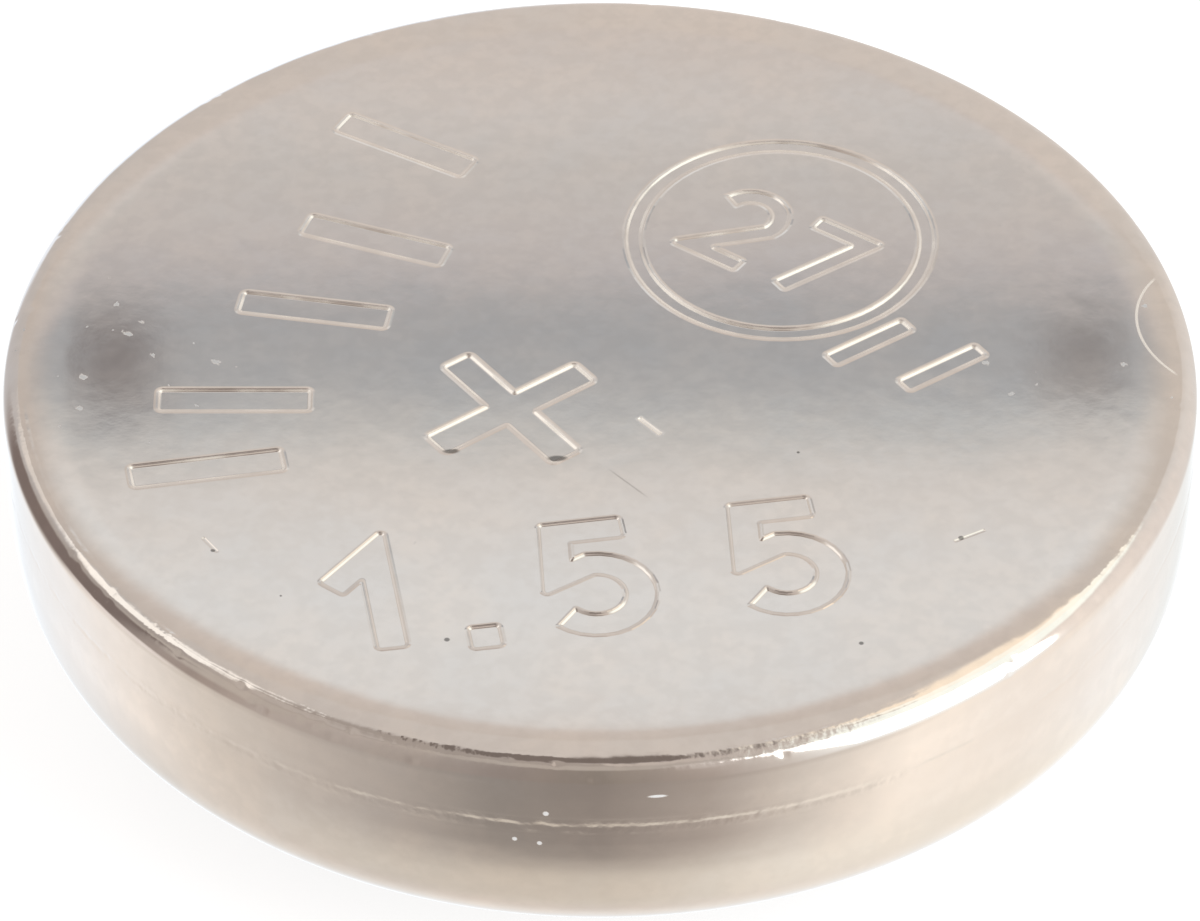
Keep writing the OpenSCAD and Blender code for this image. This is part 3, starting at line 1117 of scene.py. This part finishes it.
roughness = cloud.fade(0.3, 0.7, 0.055, 0.08) + on_wall * 0.03 + dust * 0.5 + burnish * 0.4
roughness = roughness + torn_at * on_edge * 0.12
relief = waves * 0.0013 * (near_edge * 0.5 + 1) + mottle * 0.0002 + fine * 0.0001 + grain * 0.00003
relief = relief + burr * 0.004 + on_wall * streaks * 0.005 + ragged * 0.005 + die_mark * 0.003
principled(paint, tone, roughness, relief, metallic=1 - dust)
print("nickel plate:", len(paint.tree.nodes), "nodes")

# %% [markdown]
# ## Finishes of the other seven pieces
#
# Their shapes are right as they come from the model, so they only need a better finish. The cap and the
# edge of the gasket are seen from below. The cap is plated steel. Handling leaves fine scratches
# on it that run every way, each a thin contour of a noise that is stretched along one direction. The
# gasket is moulded nylon, evenly matt.

# %% Cap and gasket
def hair_lines(place, angle, width, length, thin):
    """Mask of fine lines along one direction."""
    x, y, _ = in_mm(place)
    c, s = math.cos(math.radians(angle)), math.sin(math.radians(angle))
    stretched = place.vector((x * c + y * s) / width, (y * c - x * s) / length, angle)
    return (place.noise(stretched, 1.0, 1.0) - 0.5).math("ABSOLUTE").fade(thin, 0.0)


_, paint, place = own_place("cap_plate", "negative_cap")
cloud = noise_mm(place, 1.1, 3.0, 0.6)
waves = noise_mm(place, 0.8)
fine = noise_mm(place, 0.05)
scratches = sum(hair_lines(place, angle, 0.3, 4.0, 0.014) * 0.7 for angle in (12, 48, 95, 151))
tone = cloud.fade(0.3, 0.7).mix(tint(0.64, 0.60, 0.56), tint(0.70, 0.65, 0.60))
stain = specks(place, 0.9, 0.06, 0.2)
tone = stain.mix(tone, tint(0.42, 0.38, 0.34))
roughness = cloud.fade(0.3, 0.7, 0.14, 0.22) + scratches * 0.15 + stain * 0.2
tone = (scratches * 0.35).mix(tone, tint(0.80, 0.77, 0.73))
principled(paint, tone, roughness, waves * 0.0015 + fine * 0.0001 - scratches * 0.0015, metallic=1.0)

_, paint, place = own_place("gasket_nylon", "sealing_gasket")
cloud = noise_mm(place, 0.7, 3.0, 0.6)
grain = noise_mm(place, 0.04)
tone = cloud.fade(0.3, 0.7).mix(grey(0.17), grey(0.23))
tone = specks(place, 0.4, 0.03, 0.3).mix(tone, grey(0.32))
principled(paint, tone, cloud.fade(0.3, 0.7, 0.38, 0.52), grain * 0.002 + cloud * 0.004)

# %% [markdown]
# The rest is sealed in and shows when the cell is cut open. The pellet is pressed from black powder, the
# support ring is bright steel with marks from its turning, the film is a smooth drawn sheet, the pad is
# felted from fibres that lie in every direction, and the anode is a paste of zinc grains.

# %% Pellet, ring, film, pad and anode
_, paint, place = own_place("pellet_powder", "cathode_pellet")
grain = noise_mm(place, 0.05, 3.0, 0.65)
pressed = noise_mm(place, 1.5)
tone = grain.fade(0.35, 0.7).mix(tint(0.055, 0.052, 0.048), tint(0.095, 0.088, 0.080))
tone = specks(place, 0.2, 0.03, 0.15).mix(tone, tint(0.22, 0.21, 0.19))
principled(paint, tone, pressed.fade(0.3, 0.7, 0.6, 0.8), grain * 0.006)

_, paint, place = own_place("ring_steel", "support_ring")
x, y, z = in_mm(place)
turning = paint.noise(paint.vector((x * x + y * y).math("SQRT") * 14, z * 14, 0.0), 1.0, 2.0)
cloud = noise_mm(place, 0.9, 3.0)
tone = cloud.fade(0.3, 0.7).mix(tint(0.66, 0.66, 0.67), tint(0.73, 0.73, 0.74))
principled(paint, tone, turning.fade(0.3, 0.7, 0.2, 0.32), turning * 0.002, metallic=1.0)

_, paint, place = own_place("barrier_sheet", "barrier_film")
x, y, z = in_mm(place)
drawn = paint.noise(paint.vector(x * 6, y * 0.5, z), 1.0, 2.0)
tone = drawn.fade(0.3, 0.7).mix(tint(0.83, 0.80, 0.72), tint(0.87, 0.85, 0.79))
principled(paint, tone, drawn.fade(0.3, 0.7, 0.28, 0.4), drawn * 0.002)

_, paint, place = own_place("pad_felt", "absorbent_pad")
fibres = sum(hair_lines(place, angle, 0.12, 0.9, 0.05) for angle in (5, 38, 71, 110, 147))
cloud = noise_mm(place, 0.5, 3.0)
tone = cloud.fade(0.3, 0.7).mix(tint(0.83, 0.82, 0.78), tint(0.92, 0.91, 0.88))
tone = (fibres * 0.3).mix(tone, grey(0.96))
principled(paint, tone, cloud.fade(0.3, 0.7, 0.85, 0.95), fibres * 0.01 + cloud * 0.01)

_, paint, place = own_place("zinc_paste", "zinc_anode")
grains = paint.node("TexVoronoi", None, {"Vector": place, "Scale": 1 / (0.12 * MM)})
each = grains.part("Color").split()[0]
tone = each.mix(tint(0.34, 0.35, 0.37), tint(0.52, 0.53, 0.55))
tone = grains.fade(0.35, 0.7).mix(tone, tint(0.24, 0.245, 0.26))
relief = grains.fade(0.8, 0.0) * 0.03
principled(paint, tone, each.fade(0, 1, 0.35, 0.55), relief, metallic=grains.fade(0.7, 0.4, 0.3, 0.8))

# %% [markdown]
# ## The can as one skin
#
# A real can is drawn from one sheet. So the face and the turned part are joined and the seam is welded.
# The skin has to be closed, and its volume is measured. The can rides with the root and takes the place
# of its plain node in the model.

# %% The can
SEAM = 0.0005 * MM


def join(first, second):
    """Joins the second mesh into the first and welds the seam."""
    with bpy.context.temp_override(active_object=first, selected_editable_objects=[first, second]):
        bpy.ops.object.join()
    build = bmesh.new()
    build.from_mesh(first.data)
    bmesh.ops.remove_doubles(build, verts=build.verts, dist=SEAM)
    bmesh.ops.recalc_face_normals(build, faces=build.faces)
    open_edges = sum(not edge.is_manifold for edge in build.edges)
    volume = build.calc_volume(signed=True)
    build.to_mesh(first.data)
    triangles = sum(len(f.verts) - 2 for f in build.faces)
    build.free()
    print(f"{first.name}: {triangles} triangles, {open_edges} open edges, {volume / MM ** 3:.3f} cubic mm")


can = turned_piece("can", profile, nickel_plate, COLUMNS, wear=0.0035, dents=60, dent_depth=0.007, seed=7)
face = face_disc("face", nickel_plate)
join(can, face)
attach(can, "root")
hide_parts("positive_can")

# %% [markdown]
# ## View
#
# The Standard view transform shows colours as they are written.

# %% View transform
bpy.context.scene.view_settings.view_transform = "Standard"
